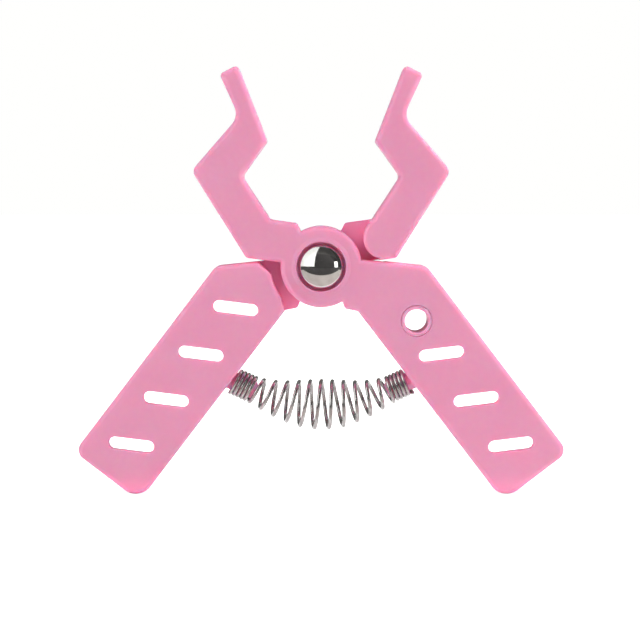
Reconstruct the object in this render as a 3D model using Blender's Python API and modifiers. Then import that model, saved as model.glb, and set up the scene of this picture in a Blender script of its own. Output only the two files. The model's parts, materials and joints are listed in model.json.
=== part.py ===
"""Spring-opened holder for watch movements and cases.

Two moulded levers cross in a half-lap joint at the hub.  Each carries a
V-notched jaw above the hub and a flat handle below it.  A double-cap steel
rivet is the pivot, and a barrel-shaped compression spring pushed over two
moulded pegs keeps the handles apart, which opens the jaws.

Frame: metres, +Z up, +X to the right, the plain faces look along -Y.  The
holder stands on the ends of its two handles.  Origin: under the middle of the
object, on the plane it stands on.
"""
import bpy
import bmesh
import math
from mathutils import Matrix, Vector

# ------------------------------------------------------------- dimensions (mm)
MM = 0.001
THICK = 12.0               # overall thickness of a lever
LAP_GAP = 0.30             # gap between the two hub halves
EDGE_R = 0.80              # rounding of the long edges
RING_R = 9.55              # outside radius of the hub ring
ROOT_R = 11.85             # concentric clearance round the hub ring
JAW_ROOT = (-14.87, 6.72)  # centre of the round end of the jaw's arm
JAW_ROOT_R = 4.97
COUNTERBORE_R = 5.78
COUNTERBORE_D = 2.40
COLLAR_R = 7.15            # low collar round the counterbore's mouth
COLLAR_TOP_R = 6.20
COLLAR_H = 0.25
PIVOT_BORE_R = 2.06
PLATE = 2.5                # face plate in front of the cored pockets
SLOT_PITCH = 13.42
SLOT_FIRST = 6.37          # first slot's place along the handle
SLOT_ACROSS = 9.57
SLOT_LEN = 10.8
SLOT_W = 3.0
SLOT_TILT = 7.0            # degrees above the horizontal
HOLE_ALONG = 9.99
HOLE_BORE_R = 3.66
BOSS_R = 5.2
BUSH_OUT_R = 3.60
BUSH_IN_R = 2.90
CAP_R = 5.0
CAP_SKIRT = 2.20           # straight side under the dome
CAP_ROLL = 0.35            # rounding from the side to the dome
CAP_DOME_R = 7.0           # sphere the dome is part of
CAP_SHEET = 0.40
PEG_R = 2.12
PEG_LEN = 6.3
PEG_DROP = 24.5            # degrees the pegs point below the horizontal
SPRING_ARC_R = 38.8
SPRING_ARC_V = 6.32        # height of the arc's centre over the hub
SPRING_WIRE_R = 0.40
SPRING_END_R = 2.715
SPRING_MID_R = 5.36
SPRING_TIGHT_TURNS = 4.5
SPRING_OPEN_TURNS = 12
SPRING_TIGHT_PITCH = 0.92
SPRING_START = 1.35        # first coil's distance from the handle's wall
PEG_STRAIGHT = 5.66        # straight stretch of the coil axis on each peg

# corner points of the lever's outline round the hub axis: (across, up, radius)
TIP_IN = (-19.55, 47.19, 1.0)
JAW_APEX_IN = (-12.66, 29.41, 1.0)
JAW_NOTCH = (-18.59, 21.16, 1.7)
WEB_ROOT = (-12.01, 11.09, 0.6)
WEB_TOP = (-5.64, 10.22, 1.0)
RING_A = 119.4             # where the web's end meets the ring
RING_B = 10.0              # where the handle's top edge meets the ring
HANDLE_TOP = (24.79, 0.10, 2.6)
HANDLE_OUT = (58.23, -43.65, 2.6)
HANDLE_IN = (42.89, -55.35, 4.4)
HANDLE_ROOT = (8.61, -10.44, 0.7)
WEB_LOW = (5.59, -9.87, 1.0)
RING_C = -58.7
RING_D = 173.9
JAW_ELBOW = (-17.63, 2.05, 1.2)
JAW_APEX_OUT = (-30.40, 22.46, 2.2)
TIP_ROOT = (-19.34, 35.19, 3.8)
TIP_OUT = (-23.82, 45.04, 1.0)


# ------------------------------------------------------------------ 2D helpers
def fillet(points, step=15.0):
    """Replace each corner that has a radius by an arc tangent to both sides."""
    out = []
    n = len(points)
    for i in range(n):
        x, y, r = points[i]
        if r <= 0:
            out.append((x, y))
            continue
        px, py = points[i - 1][:2]
        qx, qy = points[(i + 1) % n][:2]
        a = Vector((px - x, py - y)).normalized()
        b = Vector((qx - x, qy - y)).normalized()
        turn = math.pi - a.angle(b)
        t = r * math.tan(turn / 2)
        start = Vector((x, y)) + a * t
        end = Vector((x, y)) + b * t
        centre = Vector((x, y)) + (a + b).normalized() * (r / math.cos(turn / 2))
        s = start - centre
        sign = 1.0 if s.x * (end - centre).y - s.y * (end - centre).x > 0 else -1.0
        count = max(2, int(math.ceil(math.degrees(turn) / step)))
        for k in range(count + 1):
            ang = sign * turn * k / count
            c, sn = math.cos(ang), math.sin(ang)
            out.append((centre.x + s.x * c - s.y * sn, centre.y + s.x * sn + s.y * c))
    return out


def arc(cx, cy, r, a0, a1, step=8.0, radius=0.0):
    """Points on a circle from angle a0 to a1 (degrees), both ends included."""
    count = max(1, int(round(abs(a1 - a0) / step)))
    pts = []
    for k in range(count + 1):
        a = math.radians(a0 + (a1 - a0) * k / count)
        corner = radius if k in (0, count) else 0.0
        pts.append((cx + r * math.cos(a), cy + r * math.sin(a), corner))
    return pts


def lever_outline():
    pts = [TIP_IN, JAW_APEX_IN, JAW_NOTCH, WEB_ROOT, WEB_TOP]
    pts += arc(0, 0, RING_R, RING_A, RING_B, radius=0.35)
    pts += [HANDLE_TOP, HANDLE_OUT, HANDLE_IN, HANDLE_ROOT, WEB_LOW]
    pts += arc(0, 0, RING_R, RING_C, RING_D - 360.0, radius=0.35)
    pts += [JAW_ELBOW, JAW_APEX_OUT, TIP_ROOT, TIP_OUT]
    return fillet(pts)


def lap_region():
    """Area round the hub where a lever is only half as thick."""
    cu, cv = JAW_ROOT
    pts = [(-13.8, -12.0, 0), (-13.8, -1.2, 0)]
    pts += arc(cu, cv, JAW_ROOT_R, -75.1, 45.6)
    pts += [(-11.15, 13.8, 0), (16.4, 13.8, 0), (15.7, 2.5, 0), (15.5, 1.2, 0.4),
            (14.6, 0.85, 1.2), (12.85, -0.70, 1.2)]
    pts += arc(0, 0, ROOT_R, -8.6, -36.5)
    pts += [(8.80, -9.70, 0), (8.65, -12.0, 0)]
    return fillet(pts)


ALONG = Vector((HANDLE_IN[0] - HANDLE_ROOT[0], HANDLE_IN[1] - HANDLE_ROOT[1])).normalized()
ACROSS = Vector((-ALONG.y, ALONG.x))


def handle_point(s, t):
    """Point s mm down the handle and t mm out from its inner edge."""
    return (HANDLE_ROOT[0] + s * ALONG.x + t * ACROSS.x,
            HANDLE_ROOT[1] + s * ALONG.y + t * ACROSS.y)


def handle_bay(s0, s1, t0=2.1, t1=16.9, r=1.2):
    corners = [(s0, t0), (s1, t0), (s1, t1), (s0, t1)]
    return fillet([handle_point(*c) + (r,) for c in corners], 30)


def arm_bay(a, b, half, r):
    """Pocket along a jaw's arm, from a to b, with rounded ends."""
    d = (Vector(b) - Vector(a)).normalized()
    n = Vector((-d.y, d.x)) * half
    a, b = Vector(a), Vector(b)
    pts = [a - n, b - n, b + n, a + n]
    return fillet([(p.x, p.y, r) for p in pts], 30)


def slot_outline(s):
    u, v = handle_point(s, SLOT_ACROSS)
    d = Vector((math.cos(math.radians(SLOT_TILT)), math.sin(math.radians(SLOT_TILT))))
    n = Vector((-d.y, d.x)) * SLOT_W / 2
    e = d * (SLOT_LEN / 2)
    c = Vector((u, v))
    pts = [c - e - n, c + e - n, c + e + n, c - e + n]
    return fillet([(p.x, p.y, SLOT_W / 2 - 0.05) for p in pts], 30)


def mirrored(points, side):
    return [(side * x, y) for x, y in points]


OUTLINE = lever_outline()
HUB_Z = -min(y for x, y in OUTLINE)


# ------------------------------------------------------------- scene helpers
def clear_scene():
    for obj in list(bpy.data.objects):
        bpy.data.objects.remove(obj, do_unlink=True)


def new_collection(name):
    col = bpy.data.collections.new(name)
    bpy.context.scene.collection.children.link(col)
    return col


def material(name, colour, rough, metal=0.0):
    mat = bpy.data.materials.new(name)
    mat.use_nodes = True
    bsdf = mat.node_tree.nodes["Principled BSDF"]
    bsdf.inputs["Base Color"].default_value = colour + (1.0,)
    bsdf.inputs["Roughness"].default_value = rough
    bsdf.inputs["Metallic"].default_value = metal
    return mat


def plate(name, outlines, y0, y1, collection, edge=0.0):
    """Flat outline in the front plane, from depth y0 to y1, as a mesh object
    with its origin on the hub axis."""
    data = bpy.data.curves.new(name, 'CURVE')
    data.dimensions = '2D'
    data.fill_mode = 'BOTH'
    data.extrude = ((y1 - y0) / 2 - edge) * MM
    if edge:
        data.bevel_depth = edge * MM
        data.bevel_resolution = 1
        data.offset = -edge * MM
    data.render_resolution_u = 0
    for outline in outlines:
        spline = data.splines.new('POLY')
        spline.points.add(len(outline) - 1)
        for point, (u, v) in zip(spline.points, outline):
            point.co = (u * MM, v * MM, 0, 1)
        spline.use_cyclic_u = True
    curve = bpy.data.objects.new(name + "_curve", data)
    bpy.context.scene.collection.objects.link(curve)
    curve.rotation_euler = (math.pi / 2, 0, 0)
    bpy.context.view_layer.update()
    mesh = bpy.data.meshes.new_from_object(
        curve.evaluated_get(bpy.context.evaluated_depsgraph_get()))
    mesh.name = name
    bm = bmesh.new()
    bm.from_mesh(mesh)
    bmesh.ops.remove_doubles(bm, verts=bm.verts, dist=1e-6)
    bmesh.ops.transform(bm, matrix=Matrix.Translation((0, (y0 + y1) / 2 * MM, 0))
                        @ curve.matrix_world, verts=bm.verts)
    bmesh.ops.recalc_face_normals(bm, faces=bm.faces)
    bm.to_mesh(mesh)
    bm.free()
    bpy.data.objects.remove(curve, do_unlink=True)
    obj = bpy.data.objects.new(name, mesh)
    obj.location = (0, 0, HUB_Z * MM)
    collection.objects.link(obj)
    return obj


def turned(name, profile, steps, location, outward, collection):
    """Turned piece: profile of (radius, height), its height along outward."""
    mesh = bpy.data.meshes.new(name)
    verts = [(r * MM, 0, h * MM) for r, h in profile]
    closed = profile[0][0] > 0
    edges = [(i, i + 1) for i in range(len(verts) - 1)]
    if closed:
        edges.append((len(verts) - 1, 0))
    mesh.from_pydata(verts, edges, [])
    obj = bpy.data.objects.new(name, mesh)
    collection.objects.link(obj)
    obj.location = [c * MM for c in location]
    obj.rotation_euler = Vector(outward).to_track_quat('Z', 'Y').to_euler()
    screw = obj.modifiers.new("turn", 'SCREW')
    screw.axis = 'Z'
    screw.steps = steps
    screw.render_steps = steps
    screw.use_merge_vertices = True
    screw.merge_threshold = 0.000001
    screw.use_smooth_shade = True
    return obj


def as_cutter(obj):
    obj.hide_render = True
    obj.display_type = 'WIRE'
    return obj


def boolean(obj, other, operation):
    mod = obj.modifiers.new(other.name, 'BOOLEAN')
    mod.operation = operation
    mod.solver = 'EXACT'
    mod.object = other


def cylinder_profile(radius, low, high):
    return [(0, high), (radius, high), (radius, low), (0, low)]


# ------------------------------------------------------------------ the levers
def peg_frame(side):
    """Foot and direction of the spring peg on the handle's inner wall."""
    a = math.radians(PEG_DROP)
    start = Vector((SPRING_ARC_R * math.sin(a), SPRING_ARC_V - SPRING_ARC_R * math.cos(a)))
    direction = Vector((-math.cos(a), -math.sin(a)))
    foot = start - direction * PEG_STRAIGHT
    return (Vector((side * foot.x, 0, foot.y)),
            Vector((side * direction.x, 0, direction.y)))


def peg_profile():
    pts = [(0, PEG_LEN)]
    tip = 1.1
    for k in range(1, 6):
        a = math.radians(18 * k)
        pts.append((PEG_R - tip + tip * math.sin(a), PEG_LEN - tip + tip * math.cos(a)))
    pts += [(PEG_R, -1.2), (0, -1.2)]
    return pts


def make_lever(name, side, lap_behind, with_hole, parts, cutters, mat):
    """side +1: handle to the right.  lap_behind: the hub keeps its front half."""
    half = THICK / 2
    lever = plate(name, [mirrored(OUTLINE, side)], -half, half, parts, EDGE_R)

    if lap_behind:
        lap = plate(name + "_lap", [mirrored(lap_region(), side)],
                    -LAP_GAP / 2, half + 1, cutters)
        bore_out = (0, -1, 0)
    else:
        lap = plate(name + "_lap", [mirrored(lap_region(), side)],
                    -half - 1, LAP_GAP / 2, cutters)
        bore_out = (0, 1, 0)
    boolean(lever, as_cutter(lap), 'DIFFERENCE')

    foot, direction = peg_frame(side)
    peg = turned(name + "_peg", peg_profile(), 20,
                 (foot.x, foot.y, foot.z + HUB_Z), direction, cutters)
    boolean(lever, as_cutter(peg), 'UNION')

    bays = [handle_bay(27.46, 38.48), handle_bay(40.88, 52.0),
            arm_bay((-14.2, 5.9), (-21.3, 17.1), 2.9, 2.4),
            arm_bay((-24.5, 22.0), (-18.4, 29.6), 2.4, 2.0)]
    if with_hole:
        bays += [handle_bay(1.0, 13.6), handle_bay(15.6, 25.06)]
    else:
        bays += [handle_bay(1.0, 11.64), handle_bay(14.04, 25.06)]
    root = [handle_point(*c) + (0.6,) for c in
            ((-0.8, 4.6), (-0.8, 14.1), (-3.4, 11.6), (-4.6, 9.2))]
    bays.append(fillet(root, 30))
    cores = plate(name + "_cores", [mirrored(b, side) for b in bays],
                  -half + PLATE, half + 1, cutters)
    boolean(lever, as_cutter(cores), 'DIFFERENCE')

    first = 1 if with_hole else 0
    slots = plate(name + "_slots",
                  [mirrored(slot_outline(SLOT_FIRST + SLOT_PITCH * k), side)
                   for k in range(first, 4)],
                  -half - 1, -half + PLATE + 0.6, cutters)
    boolean(lever, as_cutter(slots), 'DIFFERENCE')

    if with_hole:
        u, v = handle_point(HOLE_ALONG, SLOT_ACROSS)
        boss = turned(name + "_boss", cylinder_profile(BOSS_R, -half + 1.0, half - 0.02),
                      32, (u * side, 0, v + HUB_Z), (0, 1, 0), cutters)
        boolean(lever, as_cutter(boss), 'UNION')
        bore = turned(name + "_hole", cylinder_profile(HOLE_BORE_R, -half - 1, half + 1),
                      32, (u * side, 0, v + HUB_Z), (0, 1, 0), cutters)
        boolean(lever, as_cutter(bore), 'DIFFERENCE')

    collar = turned(name + "_collar",
                    [(0, half + COLLAR_H), (COLLAR_TOP_R, half + COLLAR_H), (COLLAR_R, half),
                     (COLLAR_R - 0.3, half - 0.8), (0, half - 0.8)],
                    48, (0, 0, HUB_Z), bore_out, cutters)
    boolean(lever, as_cutter(collar), 'UNION')
    floor = half - COUNTERBORE_D
    hub = turned(name + "_bore",
                 [(0, half + 1), (COUNTERBORE_R, half + 1), (COUNTERBORE_R, floor),
                  (PIVOT_BORE_R, floor), (PIVOT_BORE_R, -1), (0, -1)],
                 48, (0, 0, HUB_Z), bore_out, cutters)
    boolean(lever, as_cutter(hub), 'DIFFERENCE')
    lever.data.materials.append(mat)
    return lever


# ------------------------------------------------------------------- the rivet
def cap_profile():
    """Domed sheet cap with its rim curled under, seat at height 0."""
    roll_r = CAP_R - CAP_ROLL
    centre = CAP_SKIRT - math.sqrt((CAP_DOME_R - CAP_ROLL) ** 2 - roll_r ** 2)
    outer = math.asin(roll_r / (CAP_DOME_R - CAP_ROLL))
    inner_r = CAP_DOME_R - CAP_SHEET
    wall = CAP_R - CAP_SHEET
    inner = math.asin(wall / inner_r)
    pts = []
    for k in range(9):
        a = outer * k / 8
        pts.append((CAP_DOME_R * math.sin(a), centre + CAP_DOME_R * math.cos(a)))
    for k in range(1, 4):
        a = outer + (math.pi / 2 - outer) * k / 3
        pts.append((roll_r + CAP_ROLL * math.sin(a), CAP_SKIRT + CAP_ROLL * math.cos(a)))
    pts += [(CAP_R, 0.14), (CAP_R - 0.14, 0), (3.9, 0), (3.9, 0.35), (wall, 0.35)]
    for k in range(7):
        a = inner * (1 - k / 6)
        pts.append((inner_r * math.sin(a), centre + inner_r * math.cos(a)))
    pts[0] = (0, pts[0][1])
    pts[-1] = (0, pts[-1][1])
    return pts


def make_rivet(parts, steel):
    seat = THICK / 2 - COUNTERBORE_D + 0.05
    pieces = []
    for name, out in (("rivet_front_cap", -1), ("rivet_rear_cap", 1)):
        cap = turned(name, cap_profile(), 40, (0, out * seat, HUB_Z), (0, out, 0), parts)
        pieces.append(cap)
    pin = turned("rivet_front_pin",
                 [(0, 0.95), (4.1, 0.95), (4.4, 0.42), (1.2, 0.42), (1.2, 1.1 - 2 * seat),
                  (0.9, 0.8 - 2 * seat), (0, 0.8 - 2 * seat)],
                 24, (0, -seat, HUB_Z), (0, -1, 0), parts)
    tube = turned("rivet_rear_tube",
                  [(0, 0.95), (4.1, 0.95), (4.4, 0.42), (2.0, 0.42), (2.0, -2 * seat - 0.3),
                   (1.3, -2 * seat - 0.3), (1.3, -0.5), (0, -0.5)],
                  40, (0, seat, HUB_Z), (0, 1, 0), parts)
    pieces += [pin, tube]
    for piece in pieces:
        piece.data.materials.append(steel)
    return pieces


def make_bush(parts, mat):
    h = THICK / 2
    prof = [(BUSH_OUT_R, h - 0.25), (BUSH_OUT_R, -h + 0.25), (BUSH_OUT_R - 0.2, -h),
            (BUSH_IN_R + 0.2, -h), (BUSH_IN_R, -h + 0.2), (BUSH_IN_R, h - 0.2),
            (BUSH_IN_R + 0.2, h), (BUSH_OUT_R - 0.2, h)]
    u, v = handle_point(HOLE_ALONG, SLOT_ACROSS)
    bush = turned("handle_hole_bush", prof, 32, (u, 0, v + HUB_Z), (0, 1, 0), parts)
    bush.data.materials.append(mat)
    return bush


# ------------------------------------------------------------------ the spring
def spring_axis(s):
    """Point and direction of the coil axis s mm from the left handle's wall."""
    a = math.radians(PEG_DROP)
    arc_len = 2 * a * SPRING_ARC_R
    total = arc_len + 2 * PEG_STRAIGHT
    if s < PEG_STRAIGHT:
        ang = -a
        extra = s - PEG_STRAIGHT
    elif s > total - PEG_STRAIGHT:
        ang = a
        extra = s - (total - PEG_STRAIGHT)
    else:
        ang = (s - total / 2) / SPRING_ARC_R
        extra = 0.0
    direction = Vector((math.cos(ang), math.sin(ang)))
    point = Vector((SPRING_ARC_R * math.sin(ang), SPRING_ARC_V - SPRING_ARC_R * math.cos(ang)))
    return point + direction * extra, direction, total


def spring_points(per_turn=14):
    total = spring_axis(0)[2]
    turns = 2 * SPRING_TIGHT_TURNS + SPRING_OPEN_TURNS
    open_len = total - 2 * SPRING_START - 2 * SPRING_TIGHT_TURNS * SPRING_TIGHT_PITCH
    open_pitch = open_len / SPRING_OPEN_TURNS
    count = int(turns * per_turn)
    pts = []
    s = SPRING_START
    for k in range(count + 1):
        n = turns * k / count
        edge = min(n, turns - n)
        blend = min(1.0, max(0.0, (edge - SPRING_TIGHT_TURNS) / 0.5 + 0.5))
        if k:
            s += (SPRING_TIGHT_PITCH + (open_pitch - SPRING_TIGHT_PITCH) * blend) * turns / count
        t = min(1.0, max(0.0, (n - SPRING_TIGHT_TURNS) / SPRING_OPEN_TURNS))
        r = SPRING_END_R + (SPRING_MID_R - SPRING_END_R) * math.sin(math.pi * t) ** 1.7
        phase = math.pi - 2 * math.pi * n
        point, d, _ = spring_axis(s)
        up = Vector((-d.y, d.x))
        uv = point + up * (r * math.cos(phase))
        pts.append((uv.x, -r * math.sin(phase), uv.y))
    return pts


def make_spring(parts, mat):
    data = bpy.data.curves.new("return_spring", 'CURVE')
    data.dimensions = '3D'
    data.bevel_depth = SPRING_WIRE_R * MM
    data.bevel_resolution = 2
    data.use_fill_caps = True
    data.render_resolution_u = 0
    pts = spring_points()
    spline = data.splines.new('POLY')
    spline.points.add(len(pts) - 1)
    for point, p in zip(spline.points, pts):
        point.co = (p[0] * MM, p[1] * MM, p[2] * MM, 1)
    obj = bpy.data.objects.new("return_spring", data)
    obj.location = (0, 0, HUB_Z * MM)
    parts.objects.link(obj)
    data.materials.append(mat)
    return obj


def main():
    clear_scene()
    parts = new_collection("watch_movement_holder")
    cutters = new_collection("cutters")
    pink = material("pink_plastic", (0.78, 0.30, 0.44), 0.42)
    pink_rear = material("pink_plastic_rear", (0.76, 0.28, 0.42), 0.42)
    pink_bush = material("pink_bush", (0.80, 0.33, 0.47), 0.38)
    steel = material("polished_steel", (0.66, 0.66, 0.65), 0.12, 1.0)
    wire = material("spring_steel", (0.58, 0.57, 0.57), 0.25, 1.0)

    make_lever("front_lever", 1, True, True, parts, cutters, pink)
    make_lever("rear_lever", -1, False, False, parts, cutters, pink_rear)
    make_rivet(parts, steel)
    make_bush(parts, pink_bush)
    make_spring(parts, wire)

    bpy.context.view_layer.update()


main()
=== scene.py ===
import json
import math

import bmesh
import bpy
import numpy as np
from mathutils import Matrix, Vector

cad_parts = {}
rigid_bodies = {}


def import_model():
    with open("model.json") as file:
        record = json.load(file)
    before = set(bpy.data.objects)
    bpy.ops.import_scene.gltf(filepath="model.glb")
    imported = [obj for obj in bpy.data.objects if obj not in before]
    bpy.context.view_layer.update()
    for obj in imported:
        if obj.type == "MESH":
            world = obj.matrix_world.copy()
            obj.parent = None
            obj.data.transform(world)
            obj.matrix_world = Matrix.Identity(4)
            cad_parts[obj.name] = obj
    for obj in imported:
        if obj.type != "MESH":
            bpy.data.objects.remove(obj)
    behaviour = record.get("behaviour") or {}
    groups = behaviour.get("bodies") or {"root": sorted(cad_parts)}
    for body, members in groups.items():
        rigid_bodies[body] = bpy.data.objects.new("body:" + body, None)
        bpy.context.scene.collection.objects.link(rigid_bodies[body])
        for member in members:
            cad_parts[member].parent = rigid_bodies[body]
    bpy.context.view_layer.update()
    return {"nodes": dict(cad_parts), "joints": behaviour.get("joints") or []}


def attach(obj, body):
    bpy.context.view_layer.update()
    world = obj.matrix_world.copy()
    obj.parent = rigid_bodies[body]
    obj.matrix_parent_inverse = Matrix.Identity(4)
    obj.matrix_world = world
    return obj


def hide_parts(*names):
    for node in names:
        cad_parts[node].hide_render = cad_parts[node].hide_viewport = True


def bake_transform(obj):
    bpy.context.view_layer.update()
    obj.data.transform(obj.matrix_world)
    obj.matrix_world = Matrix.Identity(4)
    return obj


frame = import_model()

# --------------------------------------------------------------- design (mm)
MM = 0.001
THICK = 12.0
LAP_GAP = 0.30
EDGE_R = 1.25
LAP_EDGE_R = 1.0
RING_R = 9.55
ROOT_R = 11.85
JAW_ROOT = (-14.87, 6.72)
JAW_ROOT_R = 4.97
COUNTERBORE_R = 5.78
COUNTERBORE_D = 2.40
COLLAR_R = 7.15
COLLAR_TOP_R = 6.20
COLLAR_H = 0.25
PIVOT_BORE_R = 2.06
PLATE = 2.5
SLOT_PITCH = 13.48
SLOT_FIRST = 6.42
SLOT_ACROSS = 9.57
SLOT_LEN = 10.65
SLOT_W = 2.90
SLOT_TILT = 7.0
HOLE_ALONG = 10.18
HOLE_BORE_R = 3.66
BOSS_R = 5.2
BUSH_OUT_R = 3.60
BUSH_IN_R = 2.76
CAP_R = 5.0
CAP_SKIRT = 2.20
CAP_ROLL = 0.35
CAP_DOME_R = 7.0
CAP_SHEET = 0.40
PEG_R = 2.12
PEG_LEN = 6.3
PEG_DROP = 24.5
SPRING_ARC_R = 38.8
SPRING_ARC_V = 5.92
SPRING_WIRE_R = 0.46
SPRING_END_R = 2.92
SPRING_MID_R = 5.66
SPRING_TIGHT_TURNS = 4.5
SPRING_OPEN_TURNS = 12
SPRING_TIGHT_PITCH = 0.95
SPRING_START = 0.85
PEG_STRAIGHT = 5.66

TIP_IN = (-19.55, 47.19, 1.0)
JAW_APEX_IN = (-12.66, 29.41, 1.0)
JAW_NOTCH = (-18.59, 21.16, 1.7)
WEB_ROOT = (-12.01, 11.09, 0.6)
WEB_TOP = (-5.64, 10.22, 1.0)
RING_A = 119.4
RING_B = 10.0
HANDLE_TOP = (24.79, 0.10, 2.6)
HANDLE_OUT = (58.23, -43.65, 2.6)
HANDLE_IN = (42.89, -55.35, 4.4)
HANDLE_ROOT = (8.61, -10.44, 0.7)
WEB_LOW = (5.59, -9.87, 1.0)
RING_C = -58.7
RING_D = 173.9
JAW_ELBOW = (-17.63, 2.05, 1.2)
JAW_APEX_OUT = (-30.40, 22.46, 2.2)
TIP_ROOT = (-19.34, 35.19, 3.8)
TIP_OUT = (-23.82, 45.04, 1.0)


# ------------------------------------------------------------------ 2D helpers
def fillet(points, step=7.0, steps=None, record=None):
    """Replace each corner that has a radius by an arc tangent to both sides."""
    out = []
    n = len(points)
    for i in range(n):
        x, y, r = points[i]
        if r <= 0:
            out.append((x, y))
            if record is not None:
                record.append(0)
            continue
        px, py = points[i - 1][:2]
        qx, qy = points[(i + 1) % n][:2]
        a = Vector((px - x, py - y)).normalized()
        b = Vector((qx - x, qy - y)).normalized()
        turn = math.pi - a.angle(b)
        t = r * math.tan(turn / 2)
        start = Vector((x, y)) + a * t
        end = Vector((x, y)) + b * t
        centre = Vector((x, y)) + (a + b).normalized() * (r / math.cos(turn / 2))
        s = start - centre
        sign = 1.0 if s.x * (end - centre).y - s.y * (end - centre).x > 0 else -1.0
        count = steps[i] if steps else max(3, int(math.ceil(math.degrees(turn) / step)))
        if record is not None:
            record.append(count)
        for k in range(count + 1):
            ang = sign * turn * k / count
            c, sn = math.cos(ang), math.sin(ang)
            out.append((centre.x + s.x * c - s.y * sn, centre.y + s.x * sn + s.y * c))
    return out


def arc(cx, cy, r, a0, a1, step=3.0, radius=0.0):
    count = max(1, int(round(abs(a1 - a0) / step)))
    pts = []
    for k in range(count + 1):
        a = math.radians(a0 + (a1 - a0) * k / count)
        corner = radius if k in (0, count) else 0.0
        pts.append((cx + r * math.cos(a), cy + r * math.sin(a), corner))
    return pts


def lever_corners():
    pts = [TIP_IN, JAW_APEX_IN, JAW_NOTCH, WEB_ROOT, WEB_TOP]
    pts += arc(0, 0, RING_R, RING_A, RING_B, radius=0.18)
    pts += [HANDLE_TOP, HANDLE_OUT, HANDLE_IN, HANDLE_ROOT, WEB_LOW]
    pts += arc(0, 0, RING_R, RING_C, RING_D - 360.0, radius=0.18)
    pts += [JAW_ELBOW, JAW_APEX_OUT, TIP_ROOT, TIP_OUT]
    return pts


def lever_outline(inset=0.0):
    """The lever's outline moved in by inset: the straight runs and arcs move in
    and each rounded corner keeps a radius of its own, so that none folds over."""
    pts = lever_corners()
    xy = [p[:2] for p in pts]
    turn = 1.0 if area(xy) > 0 else -1.0
    moved = offset(xy, -inset) if inset else xy
    out = []
    for i, (x, y, r) in enumerate(pts):
        if r > 0 and inset:
            p, q = xy[i - 1], xy[(i + 1) % len(xy)]
            cross = (x - p[0]) * (q[1] - y) - (y - p[1]) * (q[0] - x)
            r = max(r - inset, 0.06 + 0.1 * (r - 0.06)) if cross * turn > 0 else r + inset
        out.append((moved[i][0], moved[i][1], r))
    counts = CORNER_STEPS or None
    return fillet(out, steps=counts)


def lap_region():
    cu, cv = JAW_ROOT
    pts = [(-13.8, -12.0, 0), (-13.8, -1.2, 0)]
    pts += arc(cu, cv, JAW_ROOT_R, -75.1, 45.6)
    pts += [(-11.15, 13.8, 0), (16.4, 13.8, 0), (15.7, 2.5, 0), (15.5, 1.2, 0.4),
            (14.6, 0.85, 1.2), (12.85, -0.70, 1.2)]
    pts += arc(0, 0, ROOT_R, -8.6, -36.5)
    pts += [(8.80, -9.70, 0), (8.65, -12.0, 0)]
    return fillet(pts)


ALONG = Vector((HANDLE_IN[0] - HANDLE_ROOT[0], HANDLE_IN[1] - HANDLE_ROOT[1])).normalized()
ACROSS = Vector((-ALONG.y, ALONG.x))


def handle_point(s, t):
    return (HANDLE_ROOT[0] + s * ALONG.x + t * ACROSS.x,
            HANDLE_ROOT[1] + s * ALONG.y + t * ACROSS.y)


def handle_bay(s0, s1, t0=2.1, t1=16.9, r=1.2):
    corners = [(s0, t0), (s1, t0), (s1, t1), (s0, t1)]
    return fillet([handle_point(*c) + (r,) for c in corners], 10)


def arm_bay(a, b, half, r):
    d = (Vector(b) - Vector(a)).normalized()
    n = Vector((-d.y, d.x)) * half
    a, b = Vector(a), Vector(b)
    return fillet([(p.x, p.y, r) for p in (a - n, b - n, b + n, a + n)], 10)


def slot_outline(s):
    u, v = handle_point(s, SLOT_ACROSS)
    d = Vector((math.cos(math.radians(SLOT_TILT)), math.sin(math.radians(SLOT_TILT))))
    n = Vector((-d.y, d.x)) * SLOT_W / 2
    e = d * (SLOT_LEN / 2)
    c = Vector((u, v))
    pts = [c - e - n, c + e - n, c + e + n, c - e + n]
    return fillet([(p.x, p.y, SLOT_W / 2 - 0.002) for p in pts], 8)


def mirrored(points, side):
    return [(side * x, y) for x, y in points]


def area(pts):
    return 0.5 * sum(pts[i - 1][0] * pts[i][1] - pts[i][0] * pts[i - 1][1]
                     for i in range(len(pts)))


def offset(pts, d):
    """The outline moved outward by d, mitred at each corner."""
    sign = 1.0 if area(pts) > 0 else -1.0
    out = []
    n = len(pts)
    for i in range(n):
        p, q, r = Vector(pts[i - 1]), Vector(pts[i]), Vector(pts[(i + 1) % n])
        a, b = (q - p).normalized(), (r - q).normalized()
        na, nb = Vector((a.y, -a.x)) * sign, Vector((b.y, -b.x)) * sign
        m = na + nb
        k = 2.0 / max(m.length_squared, 0.4)
        out.append((q.x + m.x * k * d, q.y + m.y * k * d))
    return out


CORNER_STEPS = []
fillet(lever_corners(), record=CORNER_STEPS)
HUB_Z = frame["joints"][0]["pos_m"][2] / MM


# --------------------------------------------------------------- mesh helpers
work = bpy.data.collections.new("cutters")
bpy.context.scene.collection.children.link(work)


def add_mesh(name, bm, collection=None):
    mesh = bpy.data.meshes.new(name)
    bmesh.ops.recalc_face_normals(bm, faces=bm.faces)
    bm.to_mesh(mesh)
    bm.free()
    obj = bpy.data.objects.new(name, mesh)
    (collection or bpy.context.scene.collection).objects.link(obj)
    return obj


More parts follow.
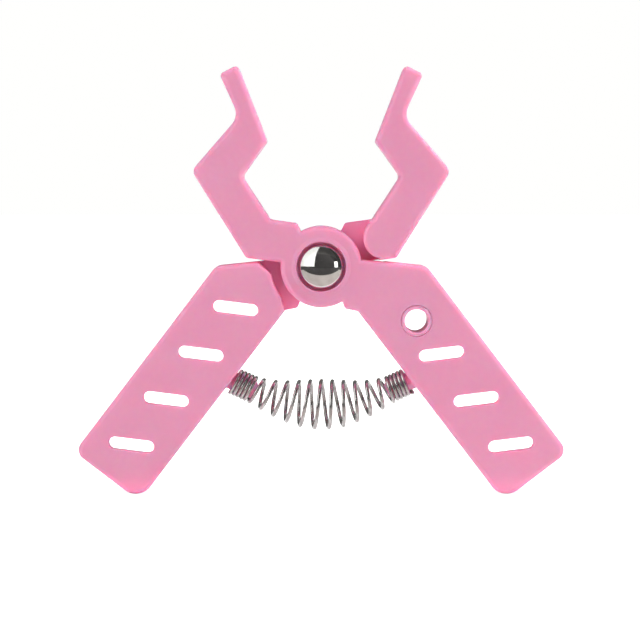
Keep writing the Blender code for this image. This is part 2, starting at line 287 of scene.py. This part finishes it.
def loft(name, outline, levels, collection=None):
    """Closed solid through the outline at each (depth y, outward offset); the
    outline is a list of points or a function of the offset."""
    bm = bmesh.new()
    rings = []
    for y, d in levels:
        if callable(outline):
            shape = outline(d)
        else:
            shape = offset(outline, d) if abs(d) > 1e-9 else outline
        rings.append([bm.verts.new((u * MM, y * MM, (v + HUB_Z) * MM)) for u, v in shape])
    n = len(rings[0])
    for a, b in zip(rings, rings[1:]):
        for i in range(n):
            j = (i + 1) % n
            bm.faces.new((a[i], a[j], b[j], b[i]))
    bm.faces.new(rings[0])
    bm.faces.new(rings[-1])
    return add_mesh(name, bm, collection)


def turned(name, profile, steps, location, outward, collection=None):
    """Turned piece from (radius, height) points, heights along outward."""
    mesh = bpy.data.meshes.new(name)
    verts = [(r * MM, 0, h * MM) for r, h in profile]
    edges = [(i, i + 1) for i in range(len(verts) - 1)]
    if profile[0][0] > 0:
        edges.append((len(verts) - 1, 0))
    mesh.from_pydata(verts, edges, [])
    obj = bpy.data.objects.new(name, mesh)
    (collection or bpy.context.scene.collection).objects.link(obj)
    obj.location = [c * MM for c in location]
    obj.rotation_euler = Vector(outward).to_track_quat('Z', 'Y').to_euler()
    screw = obj.modifiers.new("turn", 'SCREW')
    screw.axis = 'Z'
    screw.steps = steps
    screw.render_steps = steps
    screw.use_merge_vertices = True
    screw.merge_threshold = 0.0000005
    return bake(obj, name)


def bake(obj, name):
    """The object's evaluated mesh, in world space, as a plain mesh object."""
    bpy.context.view_layer.update()
    dg = bpy.context.evaluated_depsgraph_get()
    mesh = bpy.data.meshes.new_from_object(obj.evaluated_get(dg))
    mesh.transform(obj.matrix_world)
    mesh.name = name
    collections = list(obj.users_collection)
    bpy.data.objects.remove(obj, do_unlink=True)
    bm = bmesh.new()
    bm.from_mesh(mesh)
    bmesh.ops.remove_doubles(bm, verts=bm.verts, dist=2e-7)
    bmesh.ops.recalc_face_normals(bm, faces=bm.faces)
    bm.to_mesh(mesh)
    bm.free()
    out = bpy.data.objects.new(name, mesh)
    collections[0].objects.link(out)
    return out


def boolean(obj, other, operation):
    mod = obj.modifiers.new(other.name, 'BOOLEAN')
    mod.operation = operation
    mod.solver = 'EXACT'
    mod.object = other
    other.hide_render = True
    other.hide_viewport = False
    other.display_type = 'WIRE'


def smooth(obj, angle=34.0, weighted=True):
    obj.data.shade_smooth()
    obj.data.set_sharp_from_angle(angle=math.radians(angle))
    if weighted:
        mod = obj.modifiers.new("weighted", 'WEIGHTED_NORMAL')
        mod.keep_sharp = True
        mod.weight = 50
    return obj


def quarter(r, steps, y_edge, inward, outer=True):
    """Levels that round an edge: from the face at y_edge into the body along inward."""
    levels = []
    for k in range(steps + 1):
        a = math.radians(90.0 * k / steps)
        levels.append((y_edge + inward * r * (1 - math.cos(a)),
                       (-r if outer else r) * (1 - math.sin(a))))
    return levels


# ------------------------------------------------------------------ the levers
def peg_frame(side):
    a = math.radians(PEG_DROP)
    start = Vector((SPRING_ARC_R * math.sin(a), SPRING_ARC_V - SPRING_ARC_R * math.cos(a)))
    direction = Vector((-math.cos(a), -math.sin(a)))
    foot = start - direction * PEG_STRAIGHT
    return (Vector((side * foot.x, 0, foot.y + HUB_Z)),
            Vector((side * direction.x, 0, direction.y)))


def make_lever(name, side, lap_behind, with_hole):
    half = THICK / 2
    levels = quarter(EDGE_R, 7, -half, 1)
    levels += [(-2.0, 0), (2.0, 0)]
    levels += list(reversed(quarter(EDGE_R, 7, half, -1)))
    lever = loft(name, lambda d: mirrored(lever_outline(-d), side), levels)

    # half-lap round the hub, its far rim rounded
    face = half if lap_behind else -half
    s = 1 if lap_behind else -1
    lap_levels = [(-s * LAP_GAP / 2, 0), (s * 2.5, 0)]
    lap_levels += [(y, -d) for y, d in reversed(quarter(LAP_EDGE_R, 7, face, -s))]
    lap_levels += [(face + s * 0.6, LAP_EDGE_R)]
    lap = loft(name + "_lap", mirrored(lap_region(), side), lap_levels, work)
    boolean(lever, lap, 'DIFFERENCE')

    # spring peg with a rounded tip
    tip = 1.1
    prof = [(0, PEG_LEN)]
    for k in range(1, 9):
        a = math.radians(90.0 * k / 8)
        prof.append((PEG_R - tip + tip * math.sin(a), PEG_LEN - tip + tip * math.cos(a)))
    prof += [(PEG_R, 0.9), (PEG_R + 0.06, 0.62), (PEG_R + 0.06, -1.2), (0, -1.2)]
    foot, direction = peg_frame(side)
    boolean(lever, turned(name + "_peg", prof, 48, foot / 1.0, direction, work), 'UNION')

    # cored pockets from the back, with drafted walls and a rounded rim
    bays = [handle_bay(27.46, 38.48), handle_bay(40.88, 52.0),
            arm_bay((-14.2, 5.9), (-21.3, 17.1), 2.9, 2.4),
            arm_bay((-24.5, 22.0), (-18.4, 29.6), 2.4, 2.0)]
    if with_hole:
        bays += [handle_bay(1.0, 13.6), handle_bay(15.6, 25.06)]
    else:
        bays += [handle_bay(1.0, 11.64), handle_bay(14.04, 25.06)]
    bays.append(fillet([handle_point(*c) + (0.6,) for c in
                        ((-0.8, 4.6), (-0.8, 14.1), (-3.4, 11.6), (-4.6, 9.2))], 12))
    floor = -half + PLATE
    for i, bay in enumerate(bays):
        lv = []
        for k in range(5):
            a = math.radians(90.0 * k / 4)
            lv.append((floor + 0.45 * (1 - math.cos(a)), -0.12 - 0.45 * (1 - math.sin(a))))
        lv += [(0.0, -0.05)]
        lv += [(y, -d) for y, d in reversed(quarter(0.35, 4, half, -1))]
        lv += [(half + 0.6, 0.35)]
        boolean(lever, loft(name + "_bay%d" % i, mirrored(bay, side), lv, work), 'DIFFERENCE')

    # slots through the face plate, rounded at the face
    for k in range(1 if with_hole else 0, 4):
        lv = [(-half - 0.6, 0.38)]
        lv += [(y, -d) for y, d in quarter(0.38, 5, -half, 1)]
        lv += [(floor + 0.8, 0.0)]
        boolean(lever, loft(name + "_slot%d" % k,
                            mirrored(slot_outline(SLOT_FIRST + SLOT_PITCH * k), side),
                            lv, work), 'DIFFERENCE')

    if with_hole:
        u, v = handle_point(HOLE_ALONG, SLOT_ACROSS)
        at = (u * side, 0, v + HUB_Z)
        h = half - 0.02
        boss = turned(name + "_boss", [(0, h), (BOSS_R - 0.3, h), (BOSS_R - 0.09, h - 0.09),
                                       (BOSS_R, h - 0.3), (BOSS_R + 0.08, -half + 1.0),
                                       (0, -half + 1.0)], 72, at, (0, 1, 0), work)
        boolean(lever, boss, 'UNION')
        r = HOLE_BORE_R
        prof = [(0, half + 1), (r + 0.2, half + 1), (r + 0.2, half), (r + 0.06, half - 0.06),
                (r, half - 0.2), (r, -half + 0.2), (r + 0.06, -half + 0.06),
                (r + 0.2, -half), (r + 0.2, -half - 1), (0, -half - 1)]
        boolean(lever, turned(name + "_hole", prof, 72, at, (0, 1, 0), work), 'DIFFERENCE')

    # low collar round the pivot, sloping down to the face
    out = (0, -1, 0) if lap_behind else (0, 1, 0)
    top = half + COLLAR_H
    prof = [(0, top), (COLLAR_TOP_R - 0.1, top)]
    for k in range(1, 7):
        t = k / 6
        e = t * t * (3 - 2 * t)
        prof.append((COLLAR_TOP_R - 0.1 + (COLLAR_R + 0.15 - COLLAR_TOP_R + 0.1) * t,
                     top - (COLLAR_H + 0.02) * e))
    prof += [(COLLAR_R - 0.3, half - 0.8), (0, half - 0.8)]
    boolean(lever, turned(name + "_collar", prof, 128, (0, 0, HUB_Z), out, work), 'UNION')

    # pivot bore and the counterbore for the rivet cap, its mouth rounded
    floor_h = half - COUNTERBORE_D
    f = 0.22
    prof = [(0, half + 1), (COUNTERBORE_R + f, half + 1)]
    for k in range(6):
        a = math.radians(90.0 * k / 5)
        prof.append((COUNTERBORE_R + f * (1 - math.sin(a)), top - f * (1 - math.cos(a))))
    prof += [(COUNTERBORE_R, floor_h + 0.3), (COUNTERBORE_R - 0.09, floor_h + 0.09),
             (COUNTERBORE_R - 0.3, floor_h), (PIVOT_BORE_R, floor_h), (PIVOT_BORE_R, -1), (0, -1)]
    boolean(lever, turned(name + "_bore", prof, 96, (0, 0, HUB_Z), out, work), 'DIFFERENCE')
    lever = bake(lever, name)
    bm = bmesh.new()
    bm.from_mesh(lever.data)
    bmesh.ops.dissolve_degenerate(bm, edges=bm.edges, dist=1e-6)
    bm.to_mesh(lever.data)
    bm.free()
    return smooth(lever)


# ------------------------------------------------------------------- the rivet
def cap_profile():
    roll_r = CAP_R - CAP_ROLL
    centre = CAP_SKIRT - math.sqrt((CAP_DOME_R - CAP_ROLL) ** 2 - roll_r ** 2)
    outer = math.asin(roll_r / (CAP_DOME_R - CAP_ROLL))
    inner_r = CAP_DOME_R - CAP_SHEET
    wall = CAP_R - CAP_SHEET
    inner = math.asin(wall / inner_r)
    pts = []
    for k in range(33):
        a = outer * k / 32
        pts.append((CAP_DOME_R * math.sin(a), centre + CAP_DOME_R * math.cos(a)))
    for k in range(1, 9):
        a = outer + (math.pi / 2 - outer) * k / 8
        pts.append((roll_r + CAP_ROLL * math.sin(a), CAP_SKIRT + CAP_ROLL * math.cos(a)))
    for k in range(7):
        a = math.radians(90.0 * k / 6)
        pts.append((CAP_R - 0.22 + 0.22 * math.cos(a), 0.22 - 0.22 * math.sin(a)))
    pts += [(3.95, 0), (3.9, 0.05), (3.9, 0.30), (3.95, 0.35), (wall, 0.35)]
    for k in range(13):
        a = inner * (1 - k / 12)
        pts.append((inner_r * math.sin(a), centre + inner_r * math.cos(a)))
    pts[0] = (0, pts[0][1])
    pts[-1] = (0, pts[-1][1])
    return pts


def make_bush():
    h = THICK / 2
    r = 0.30
    prof = []
    for cx, cy, a0 in ((BUSH_OUT_R - r, h - r, 90), (BUSH_OUT_R - r, -h + r, 0),
                       (BUSH_IN_R + r, -h + r, -90), (BUSH_IN_R + r, h - r, -180)):
        for k in range(6):
            a = math.radians(a0 - 18.0 * k)
            prof.append((cx + r * math.cos(a), cy + r * math.sin(a)))
    u, v = handle_point(HOLE_ALONG, SLOT_ACROSS)
    return smooth(turned("hole_bush_shell", prof, 72, (u, 0, v + HUB_Z), (0, 1, 0)))


# ------------------------------------------------------------------ the spring
def spring_axis(s):
    a = math.radians(PEG_DROP)
    total = 2 * a * SPRING_ARC_R + 2 * PEG_STRAIGHT
    if s < PEG_STRAIGHT:
        ang, extra = -a, s - PEG_STRAIGHT
    elif s > total - PEG_STRAIGHT:
        ang, extra = a, s - (total - PEG_STRAIGHT)
    else:
        ang, extra = (s - total / 2) / SPRING_ARC_R, 0.0
    direction = Vector((math.cos(ang), math.sin(ang)))
    point = Vector((SPRING_ARC_R * math.sin(ang), SPRING_ARC_V - SPRING_ARC_R * math.cos(ang)))
    return point + direction * extra, direction, total


def spring_points(per_turn):
    total = spring_axis(0)[2]
    turns = 2 * SPRING_TIGHT_TURNS + SPRING_OPEN_TURNS
    open_len = total - 2 * SPRING_START - (2 * SPRING_TIGHT_TURNS + 1) * SPRING_TIGHT_PITCH
    open_pitch = open_len / (SPRING_OPEN_TURNS - 1)
    count = int(turns * per_turn)
    pts, share = [], []
    s = SPRING_START
    for k in range(count + 1):
        n = turns * k / count
        edge = min(n, turns - n)
        blend = min(1.0, max(0.0, edge - SPRING_TIGHT_TURNS))
        if k:
            s += (SPRING_TIGHT_PITCH + (open_pitch - SPRING_TIGHT_PITCH) * blend) * turns / count
        t = min(1.0, max(0.0, (n - SPRING_TIGHT_TURNS) / SPRING_OPEN_TURNS))
        r = SPRING_END_R + (SPRING_MID_R - SPRING_END_R) * math.sin(math.pi * t) ** 1.7
        phase = math.pi - 2 * math.pi * n
        point, d, _ = spring_axis(s)
        up = Vector((-d.y, d.x))
        uv = point + up * (r * math.cos(phase))
        pts.append(Vector((uv.x, -r * math.sin(phase), uv.y + HUB_Z)))
        share.append(t)
    return pts, share


def make_spring(sides=14, per_turn=36):
    """Wire swept along the coil, with rounded wire ends; returns it and, for
    each vertex, how far along the open coils it is."""
    pts, share = spring_points(per_turn)
    bm = bmesh.new()
    rings, weights = [], []
    n = len(pts)

    def ring_at(i, radius, push):
        a = pts[max(0, i - 1)]
        b = pts[min(n - 1, i + 1)]
        tangent = (b - a).normalized()
        mid = spring_mid(i)
        radial = (pts[i] - mid)
        radial = (radial - tangent * radial.dot(tangent)).normalized()
        side = tangent.cross(radial)
        ring = []
        for k in range(sides):
            ang = 2 * math.pi * k / sides
            p = pts[i] + tangent * push + (radial * math.cos(ang) + side * math.sin(ang)) * radius
            ring.append(bm.verts.new(p * MM))
            weights.append(share[i])
        return ring

    def spring_mid(i):
        lo = max(0, i - per_turn // 2)
        hi = min(n - 1, lo + per_turn - 1)
        lo = max(0, hi - per_turn + 1)
        acc = Vector((0, 0, 0))
        for j in range(lo, hi + 1):
            acc += pts[j]
        return acc / (hi - lo + 1)

    w = SPRING_WIRE_R
    for f, p in ((0.55, -0.10), (0.85, -0.04)):
        rings.append(ring_at(0, w * f, p))
    for i in range(n):
        rings.append(ring_at(i, w, 0))
    for f, p in ((0.85, 0.04), (0.55, 0.10)):
        rings.append(ring_at(n - 1, w * f, p))
    for a, b in zip(rings, rings[1:]):
        for k in range(sides):
            j = (k + 1) % sides
            bm.faces.new((a[k], a[j], b[j], b[k]))
    bm.faces.new(rings[0])
    bm.faces.new(rings[-1])
    bm.verts.index_update()
    obj = add_mesh("spring_coil", bm)
    obj.data.shade_smooth()
    obj.data.set_sharp_from_angle(angle=math.radians(50))
    return obj, weights


# ------------------------------------------------------------------- materials
def nodes_of(name):
    mat = bpy.data.materials.new(name)
    mat.use_nodes = True
    nt = mat.node_tree
    return mat, nt, nt.nodes["Principled BSDF"], nt.links.new


def pink_plastic(name, colour, dark, rough=0.40):
    """Satin moulded plastic: faint flow mottling, fine spark-eroded grain,
    slight roughness drift, a little light scattering inside, and a painted shade that deepens the
    colour in recesses."""
    mat, nt, bsdf, link = nodes_of(name)
    tc = nt.nodes.new("ShaderNodeTexCoord")
    flow = nt.nodes.new("ShaderNodeTexNoise")
    flow.inputs["Scale"].default_value = 55.0
    flow.inputs["Detail"].default_value = 3.0
    flow.inputs["Distortion"].default_value = 0.6
    link(tc.outputs["Object"], flow.inputs["Vector"])
    ramp = nt.nodes.new("ShaderNodeValToRGB")
    ramp.color_ramp.elements[0].position = 0.30
    ramp.color_ramp.elements[0].color = dark + (1,)
    ramp.color_ramp.elements[1].position = 0.70
    ramp.color_ramp.elements[1].color = colour + (1,)
    link(flow.outputs["Fac"], ramp.inputs["Fac"])
    speck = nt.nodes.new("ShaderNodeTexNoise")
    speck.inputs["Scale"].default_value = 900.0
    speck.inputs["Detail"].default_value = 2.0
    link(tc.outputs["Object"], speck.inputs["Vector"])
    mix = nt.nodes.new("ShaderNodeMix")
    mix.data_type = 'RGBA'
    mix.blend_type = 'SOFT_LIGHT'
    mix.inputs[0].default_value = 0.10
    link(ramp.outputs["Color"], mix.inputs[6])
    link(speck.outputs["Color"], mix.inputs[7])
    # painted shade: the base colour turns a deeper crimson where ambient occlusion finds a
    # recess, standing in for light bounced about inside it
    recess_occlusion = nt.nodes.new("ShaderNodeAmbientOcclusion")
    recess_occlusion.inputs["Distance"].default_value = 0.007
    recess_occlusion.samples = 8
    painted_shade_amount = nt.nodes.new("ShaderNodeMapRange")
    painted_shade_amount.inputs["From Min"].default_value = 0.92
    painted_shade_amount.inputs["From Max"].default_value = 0.45
    painted_shade_amount.inputs["To Max"].default_value = 0.92
    link(recess_occlusion.outputs["AO"], painted_shade_amount.inputs["Value"])
    # painted shade colour: a deeper crimson, mixed in by how enclosed the spot is
    painted_recess_shade = nt.nodes.new("ShaderNodeMix")
    painted_recess_shade.data_type = 'RGBA'
    painted_recess_shade.inputs[7].default_value = (1.0, colour[1] * 1.08, colour[2] * 1.18, 1)
    link(painted_shade_amount.outputs["Result"], painted_recess_shade.inputs[0])
    link(mix.outputs[2], painted_recess_shade.inputs[6])
    link(painted_recess_shade.outputs[2], bsdf.inputs["Base Color"])
    rn = nt.nodes.new("ShaderNodeTexNoise")
    rn.inputs["Scale"].default_value = 160.0
    rn.inputs["Detail"].default_value = 5.0
    link(tc.outputs["Object"], rn.inputs["Vector"])
    rr = nt.nodes.new("ShaderNodeMapRange")
    rr.inputs["To Min"].default_value = rough - 0.05
    rr.inputs["To Max"].default_value = rough + 0.06
    link(rn.outputs["Fac"], rr.inputs["Value"])
    link(rr.outputs["Result"], bsdf.inputs["Roughness"])
    grain = nt.nodes.new("ShaderNodeTexNoise")
    grain.inputs["Scale"].default_value = 3800.0
    grain.inputs["Detail"].default_value = 2.0
    link(tc.outputs["Object"], grain.inputs["Vector"])
    bump = nt.nodes.new("ShaderNodeBump")
    bump.inputs["Strength"].default_value = 0.18
    bump.inputs["Distance"].default_value = 0.00003
    link(grain.outputs["Fac"], bump.inputs["Height"])
    sink = nt.nodes.new("ShaderNodeTexNoise")
    sink.inputs["Scale"].default_value = 120.0
    sink.inputs["Detail"].default_value = 1.0
    link(tc.outputs["Object"], sink.inputs["Vector"])
    bump2 = nt.nodes.new("ShaderNodeBump")
    bump2.inputs["Strength"].default_value = 0.10
    bump2.inputs["Distance"].default_value = 0.0004
    link(sink.outputs["Fac"], bump2.inputs["Height"])
    link(bump.outputs["Normal"], bump2.inputs["Normal"])
    link(bump2.outputs["Normal"], bsdf.inputs["Normal"])
    bsdf.inputs["Subsurface Weight"].default_value = 0.85
    bsdf.inputs["Subsurface Radius"].default_value = (1.0, 0.16, 0.26)
    bsdf.inputs["Subsurface Scale"].default_value = 0.0024
    bsdf.inputs["IOR"].default_value = 1.49
    return mat


def polished_steel(name):
    """Mirror-polished sheet: turning marks too fine to see, a few hairline
    scratches and a slight haze."""
    mat, nt, bsdf, link = nodes_of(name)
    tc = nt.nodes.new("ShaderNodeTexCoord")
    stretch = nt.nodes.new("ShaderNodeMapping")
    stretch.inputs["Scale"].default_value = (240.0, 240.0, 4200.0)
    stretch.inputs["Rotation"].default_value = (0.3, 0.9, 0.2)
    link(tc.outputs["Object"], stretch.inputs["Vector"])
    hair = nt.nodes.new("ShaderNodeTexNoise")
    hair.inputs["Scale"].default_value = 1.0
    hair.inputs["Detail"].default_value = 4.0
    link(stretch.outputs["Vector"], hair.inputs["Vector"])
    rr = nt.nodes.new("ShaderNodeMapRange")
    rr.inputs["From Min"].default_value = 0.45
    rr.inputs["From Max"].default_value = 0.80
    rr.inputs["To Min"].default_value = 0.035
    rr.inputs["To Max"].default_value = 0.16
    link(hair.outputs["Fac"], rr.inputs["Value"])
    link(rr.outputs["Result"], bsdf.inputs["Roughness"])
    tint = nt.nodes.new("ShaderNodeTexNoise")
    tint.inputs["Scale"].default_value = 420.0
    tint.inputs["Detail"].default_value = 4.0
    link(tc.outputs["Object"], tint.inputs["Vector"])
    ramp = nt.nodes.new("ShaderNodeValToRGB")
    ramp.color_ramp.elements[0].position = 0.25
    ramp.color_ramp.elements[0].color = (0.60, 0.60, 0.58, 1)
    ramp.color_ramp.elements[1].position = 0.60
    ramp.color_ramp.elements[1].color = (0.76, 0.76, 0.74, 1)
    link(tint.outputs["Fac"], ramp.inputs["Fac"])
    link(ramp.outputs["Color"], bsdf.inputs["Base Color"])
    bump = nt.nodes.new("ShaderNodeBump")
    bump.inputs["Strength"].default_value = 0.05
    bump.inputs["Distance"].default_value = 0.00001
    link(hair.outputs["Fac"], bump.inputs["Height"])
    link(bump.outputs["Normal"], bsdf.inputs["Normal"])
    bsdf.inputs["Metallic"].default_value = 1.0
    return mat


def wire_steel(name, bright=0.62):
    """Drawn spring wire: bright, with fine die lines and faint darker patches."""
    mat, nt, bsdf, link = nodes_of(name)
    tc = nt.nodes.new("ShaderNodeTexCoord")
    patch = nt.nodes.new("ShaderNodeTexNoise")
    patch.inputs["Scale"].default_value = 380.0
    patch.inputs["Detail"].default_value = 4.0
    link(tc.outputs["Object"], patch.inputs["Vector"])
    ramp = nt.nodes.new("ShaderNodeValToRGB")
    ramp.color_ramp.elements[0].position = 0.32
    ramp.color_ramp.elements[0].color = (bright * 0.72, bright * 0.70, bright * 0.69, 1)
    ramp.color_ramp.elements[1].position = 0.66
    ramp.color_ramp.elements[1].color = (bright, bright * 0.985, bright * 0.97, 1)
    link(patch.outputs["Fac"], ramp.inputs["Fac"])
    link(ramp.outputs["Color"], bsdf.inputs["Base Color"])
    fine = nt.nodes.new("ShaderNodeTexNoise")
    fine.inputs["Scale"].default_value = 5200.0
    fine.inputs["Detail"].default_value = 2.0
    link(tc.outputs["Object"], fine.inputs["Vector"])
    rr = nt.nodes.new("ShaderNodeMapRange")
    rr.inputs["To Min"].default_value = 0.14
    rr.inputs["To Max"].default_value = 0.30
    link(fine.outputs["Fac"], rr.inputs["Value"])
    link(rr.outputs["Result"], bsdf.inputs["Roughness"])
    bump = nt.nodes.new("ShaderNodeBump")
    bump.inputs["Strength"].default_value = 0.12
    bump.inputs["Distance"].default_value = 0.00001
    link(fine.outputs["Fac"], bump.inputs["Height"])
    link(bump.outputs["Normal"], bsdf.inputs["Normal"])
    bsdf.inputs["Metallic"].default_value = 1.0
    return mat


# ------------------------------------------------------------------ the pieces
FRONT, REAR = "front_lever_body", "rear_lever_body"
pink = pink_plastic("pink_plastic_satin", (0.706, 0.305, 0.458), (0.688, 0.291, 0.442))
pink_bush = pink_plastic("pink_bush_satin", (0.73, 0.327, 0.480), (0.71, 0.311, 0.462), 0.34)
steel = polished_steel("polished_rivet_steel")
wire = wire_steel("bright_spring_wire")
inner_steel = wire_steel("plain_rivet_steel", 0.52)

front = make_lever("front_lever_shell", 1, True, True)
front.data.materials.clear()
front.data.materials.append(pink)
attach(front, FRONT)
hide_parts("front_lever")

rear = make_lever("rear_lever_shell", -1, False, False)
rear.data.materials.clear()
rear.data.materials.append(pink)
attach(rear, REAR)
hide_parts("rear_lever")

seat = THICK / 2 - COUNTERBORE_D + 0.05
for name, node, out in (("front_cap_dome", "rivet_front_cap", -1),
                        ("rear_cap_dome", "rivet_rear_cap", 1)):
    cap = turned(name, cap_profile(), 128, (0, out * seat, HUB_Z), (0, out, 0))
    smooth(cap, 40, weighted=False)
    cap.data.materials.append(steel)
    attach(cap, FRONT)
    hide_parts(node)

bush = make_bush()
bush.data.materials.append(pink_bush)
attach(bush, FRONT)
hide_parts("handle_hole_bush")

for name in ("rivet_front_pin", "rivet_rear_tube"):
    node = frame["nodes"][name]
    for slot in node.material_slots:
        slot.material = inner_steel

coil, along = make_spring()
coil.data.materials.append(wire)
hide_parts("return_spring")
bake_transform(coil)

for obj in list(work.objects):
    bpy.data.objects.remove(obj, do_unlink=True)


# ------------------------------------------------------------- floor and light
def stage_material(name, colour, glow=0.0, rough=0.9, backdrop=0.0):
    """Matt paint with a faint mottling; on the reflection-only screens, a glow that paints their
    reflection in the steel and the gloss.
    """
    mat, nt, bsdf, link = nodes_of(name)
    tc = nt.nodes.new("ShaderNodeTexCoord")
    noise = nt.nodes.new("ShaderNodeTexNoise")
    noise.inputs["Scale"].default_value = 9.0
    noise.inputs["Detail"].default_value = 4.0
    link(tc.outputs["Object"], noise.inputs["Vector"])
    ramp = nt.nodes.new("ShaderNodeValToRGB")
    ramp.color_ramp.elements[0].position = 0.3
    ramp.color_ramp.elements[0].color = tuple(c * 0.985 for c in colour) + (1,)
    ramp.color_ramp.elements[1].position = 0.7
    ramp.color_ramp.elements[1].color = colour + (1,)
    link(noise.outputs["Fac"], ramp.inputs["Fac"])
    link(ramp.outputs["Color"], bsdf.inputs["Base Color"])
    bsdf.inputs["Roughness"].default_value = rough
    bsdf.inputs["Specular IOR Level"].default_value = 0.1
    if glow:
        link(ramp.outputs["Color"], bsdf.inputs["Emission Color"])
        bsdf.inputs["Emission Strength"].default_value = glow
    if backdrop:
        # the backdrop is burnt out to white without lighting the object more
        path = nt.nodes.new("ShaderNodeLightPath")
        lift = nt.nodes.new("ShaderNodeMapRange")
        lift.inputs["To Max"].default_value = backdrop
        link(path.outputs["Is Camera Ray"], lift.inputs["Value"])
        link(lift.outputs["Result"], bsdf.inputs["Emission Strength"])
        link(ramp.outputs["Color"], bsdf.inputs["Emission Color"])
    return mat


def panel(name, corners, mat):
    mesh = bpy.data.meshes.new(name)
    mesh.from_pydata([Vector(c) for c in corners], [], [tuple(range(len(corners)))])
    obj = bpy.data.objects.new(name, mesh)
    bpy.context.scene.collection.objects.link(obj)
    mesh.materials.append(mat)
    return obj


def reflection_only(obj):
    """Panels that only glossy rays see: painted reflections of a white screen, dark surroundings
    and a grey table, shown in the polished steel and the plastic's gloss.
    """
    obj.visible_camera = False
    obj.visible_diffuse = False
    obj.visible_shadow = False
    obj.visible_transmission = False
    return obj


def wall(name, p, q, z0, z1, mat):
    return reflection_only(panel(name, [(p[0], p[1], z0), (q[0], q[1], z0),
                                        (q[0], q[1], z1), (p[0], p[1], z1)], mat))


def sheet(name, x0, x1, y0, y1, mat, z=0.0006):
    return reflection_only(panel(name, [(x0, y0, z), (x1, y0, z), (x1, y1, z), (x0, y1, z)],
                                 mat))


floor = panel("floor", [(-7, -7, 0), (7, -7, 0), (7, 7, 0), (-7, 7, 0)],
              stage_material("pale_floor", (0.94, 0.94, 0.935), backdrop=0.78))

dark = stage_material("studio_dark", (0.035, 0.033, 0.033), 0.75)
dark_high = stage_material("studio_dark_high", (0.06, 0.057, 0.056), 0.75)
bright = stage_material("studio_screen_white", (0.92, 0.92, 0.91), 0.85)
table = stage_material("studio_table_grey", (0.49, 0.455, 0.43))

FILL = 0.42                          # soft light from all round
GLOSS_FILL = 0.22                    # how much of it the gloss shows
EDGE_X = -0.299                      # right end of the white screen on the left
TABLE_Y = -0.083                     # front edge of the pale table
TABLE_X = 0.275
# reflection-only panels: a glowing white screen, dark sheets and a grey table that paint the
# reflections seen in the steel dome
wall("screen_left", (EDGE_X, -0.6), (-2.6, -0.10), 0.062, 4.0, bright)
wall("dark_front", (EDGE_X, -0.6), (1.6, -0.6), 0.0, 0.75, dark)
wall("dark_front_high", (EDGE_X, -0.6), (1.6, -0.6), 0.75, 4.0, dark_high)
wall("dark_right", (1.6, -0.6), (1.6, 0.6), 0.0, 4.0, dark)
wall("dark_left_low", (EDGE_X, -0.601), (-2.6, -0.101), 0.0, 0.062, dark)
sheet("dark_floor_front", -2.6, 1.6, -0.6, TABLE_Y, dark)
sheet("dark_floor_right", TABLE_X, 1.6, TABLE_Y, 0.6, dark)
sheet("dark_floor_left", -2.6, -TABLE_X, TABLE_Y, 0.6, dark)
sheet("table_grey", -TABLE_X, TABLE_X, TABLE_Y, -0.012, table)

world = bpy.data.worlds.new("studio")
bpy.context.scene.world = world
world.use_nodes = True
bg = world.node_tree.nodes["Background"]
bg.inputs["Color"].default_value = (1.0, 1.0, 0.99, 1)
path = world.node_tree.nodes.new("ShaderNodeLightPath")
gloss = world.node_tree.nodes.new("ShaderNodeMapRange")
gloss.inputs["To Min"].default_value = FILL
gloss.inputs["To Max"].default_value = GLOSS_FILL
level = world.node_tree.nodes.new("ShaderNodeMapRange")
level.inputs["To Max"].default_value = 1.0
world.node_tree.links.new(path.outputs["Is Glossy Ray"], gloss.inputs["Value"])
world.node_tree.links.new(gloss.outputs["Result"], level.inputs["To Min"])
world.node_tree.links.new(path.outputs["Is Camera Ray"], level.inputs["Value"])
world.node_tree.links.new(level.outputs["Result"], bg.inputs["Strength"])


def area_light(name, location, target, size, power, colour=(1, 1, 1)):
    data = bpy.data.lights.new(name, 'AREA')
    data.shape = 'RECTANGLE'
    data.size, data.size_y = size
    data.energy = power
    data.color = colour
    obj = bpy.data.objects.new(name, data)
    bpy.context.scene.collection.objects.link(obj)
    obj.location = location
    obj.rotation_mode = 'QUATERNION'
    obj.rotation_quaternion = (Vector(target) - Vector(location)).to_track_quat('-Z', 'Y')
    return obj


key = area_light("key_softbox", (0.74, -0.06, 0.74), (0, 0, 0.05), (0.5, 0.5), 10.0)
key.visible_glossy = False
left = area_light("left_softbox", (-0.85, -0.30, 0.45), (0, 0, 0.05), (0.6, 0.6), 5.0)
left.visible_glossy = False
top = area_light("top_softbox", (0.25, -0.45, 0.90), (0, 0, 0.05), (0.5, 0.5), 2.2)
top.visible_glossy = False
rim = area_light("rim_gloss", (0.72, 0.20, 0.72), (0, 0, 0.05), (0.5, 0.5), 2.1)
rim.visible_diffuse = False
strip = area_light("strip_right", (0.70, -0.40, 0.15), (0, 0, 0.055), (0.20, 0.28), 0.42)

# ---------------------------------------------------------------------- camera
SCALE = 0.235
DISTANCE = 0.570
ELEVATION = math.radians(3.0)
cam_data = bpy.data.cameras.new("camera")
cam = bpy.data.objects.new("camera", cam_data)
bpy.context.scene.collection.objects.link(cam)
cam_data.sensor_width = 36.0
cam_data.lens = 36.0 * (DISTANCE + EDGE_R * MM) / (640 * SCALE * MM)
cam_data.dof.use_dof = False
cam_data.clip_start = 0.01
cam_data.clip_end = 50.0
target = Vector(((320 - 321.2) * SCALE * MM, -0.006, (494.8 - 320) * SCALE * MM))
back = Vector((0, -math.cos(ELEVATION), math.sin(ELEVATION)))
cam.location = target + back * DISTANCE
cam.rotation_mode = 'QUATERNION'
cam.rotation_quaternion = (-back).to_track_quat('-Z', 'Y')
bpy.context.scene.camera = cam

bpy.context.scene.view_settings.view_transform = 'Standard'

bpy.context.view_layer.update()
